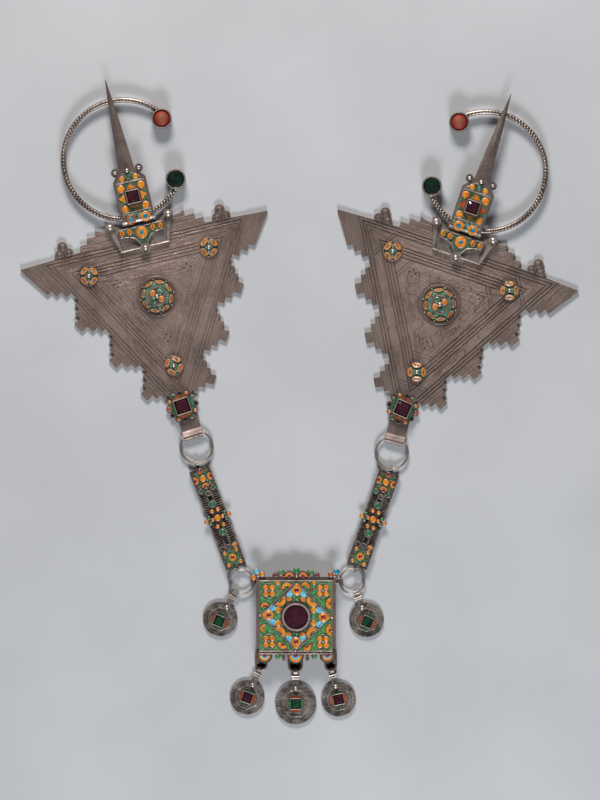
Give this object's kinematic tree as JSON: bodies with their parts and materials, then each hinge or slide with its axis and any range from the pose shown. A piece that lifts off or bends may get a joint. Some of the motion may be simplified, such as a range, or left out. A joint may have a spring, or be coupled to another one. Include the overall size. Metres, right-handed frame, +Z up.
{
  "type": "pair of chained cloak brooches with an amulet box",
  "caption": "Pair of large triangular silver cloak brooches with turning hoops and lifting pins, joined by enamelled straps to a square amulet box with coin drops",
  "frame": {"origin": "on the floor under the middle of the whole jewel's box, as it lies", "axes": "+X from the left brooch to the right one in the picture, +Y from the amulet box up to the pins, +Z up from the backs to the enamelled faces"},
  "size_m": [0.4348, 0.5023, 0.0147],
  "materials": {
    "tarnished_silver": "cast silver dulled by tarnish, darker in the engraving and bright at the worn edges",
    "bright_silver": "drawn silver wire, rubbed bright",
    "enamel": "glossy orange, green and turquoise enamel between silver wires",
    "garnet_glass": "dark red cut glass",
    "green_glass": "dark green cut glass",
    "coral": "polished coral with fine darker veins"
  },
  "bodies": {
    "jewel": {"plate_l": "tarnished_silver", "boss_centre_l": "enamel", "boss_outer_l": "enamel", "boss_inner_l": "enamel", "boss_low_l": "enamel", "crest_frame_l": "tarnished_silver", "crest_l": "enamel", "rosette_l": "enamel", "rosette_stone_l": "garnet_glass", "tongue_l": "tarnished_silver", "link_ring_l": "bright_silver", "strap_l": "tarnished_silver", "plaque_upper_l": "enamel", "plaque_lower_l": "enamel", "strap_cross_l": "enamel", "lower_ring_l": "bright_silver", "side_coin_l": "tarnished_silver", "side_stone_l": "green_glass", "plate_r": "tarnished_silver", "boss_centre_r": "enamel", "boss_outer_r": "enamel", "boss_inner_r": "enamel", "boss_low_r": "enamel", "crest_frame_r": "tarnished_silver", "crest_r": "enamel", "rosette_r": "enamel", "rosette_stone_r": "garnet_glass", "tongue_r": "tarnished_silver", "link_ring_r": "bright_silver", "strap_r": "tarnished_silver", "plaque_upper_r": "enamel", "plaque_lower_r": "enamel", "strap_cross_r": "enamel", "lower_ring_r": "bright_silver", "side_coin_r": "tarnished_silver", "side_stone_r": "green_glass", "amulet_box": "tarnished_silver", "box_face": "enamel", "box_glass": "garnet_glass", "box_cresting": "enamel", "coin_left": "tarnished_silver", "stone_left": "garnet_glass", "coin_middle": "tarnished_silver", "stone_middle": "green_glass", "coin_right": "tarnished_silver", "stone_right": "garnet_glass"},
    "hoop_l_body": {"hoop_l": "bright_silver", "hoop_coral_l": "coral", "hoop_glass_l": "green_glass"},
    "hoop_r_body": {"hoop_r": "bright_silver", "hoop_coral_r": "coral", "hoop_glass_r": "green_glass"},
    "pin_l_body": {"pin_l": "tarnished_silver", "pin_stone_l": "garnet_glass"},
    "pin_r_body": {"pin_r": "tarnished_silver", "pin_stone_r": "garnet_glass"}
  },
  "joints": [
    {"name": "pin_l_lift", "type": "hinge", "parent": "jewel", "child": "pin_l_body", "pos_m": [-0.12554, 0.14417, 0.0052], "axis": [0.9724, 0.2334, 0], "range_deg": [0, 75]},
    {"name": "hoop_l_turn", "type": "hinge", "parent": "jewel", "child": "hoop_l_body", "pos_m": [-0.13736, 0.18916, 0.0052], "axis": [0, 0, 1], "range_deg": [-18, 34]},
    {"name": "pin_r_lift", "type": "hinge", "parent": "jewel", "child": "pin_r_body", "pos_m": [0.12959, 0.1361, 0.0052], "axis": [0.9472, -0.3206, 0], "range_deg": [0, 75]},
    {"name": "hoop_r_turn", "type": "hinge", "parent": "jewel", "child": "hoop_r_body", "pos_m": [0.14545, 0.17982, 0.0052], "axis": [0, 0, 1], "range_deg": [-29, 18]}
  ]
}
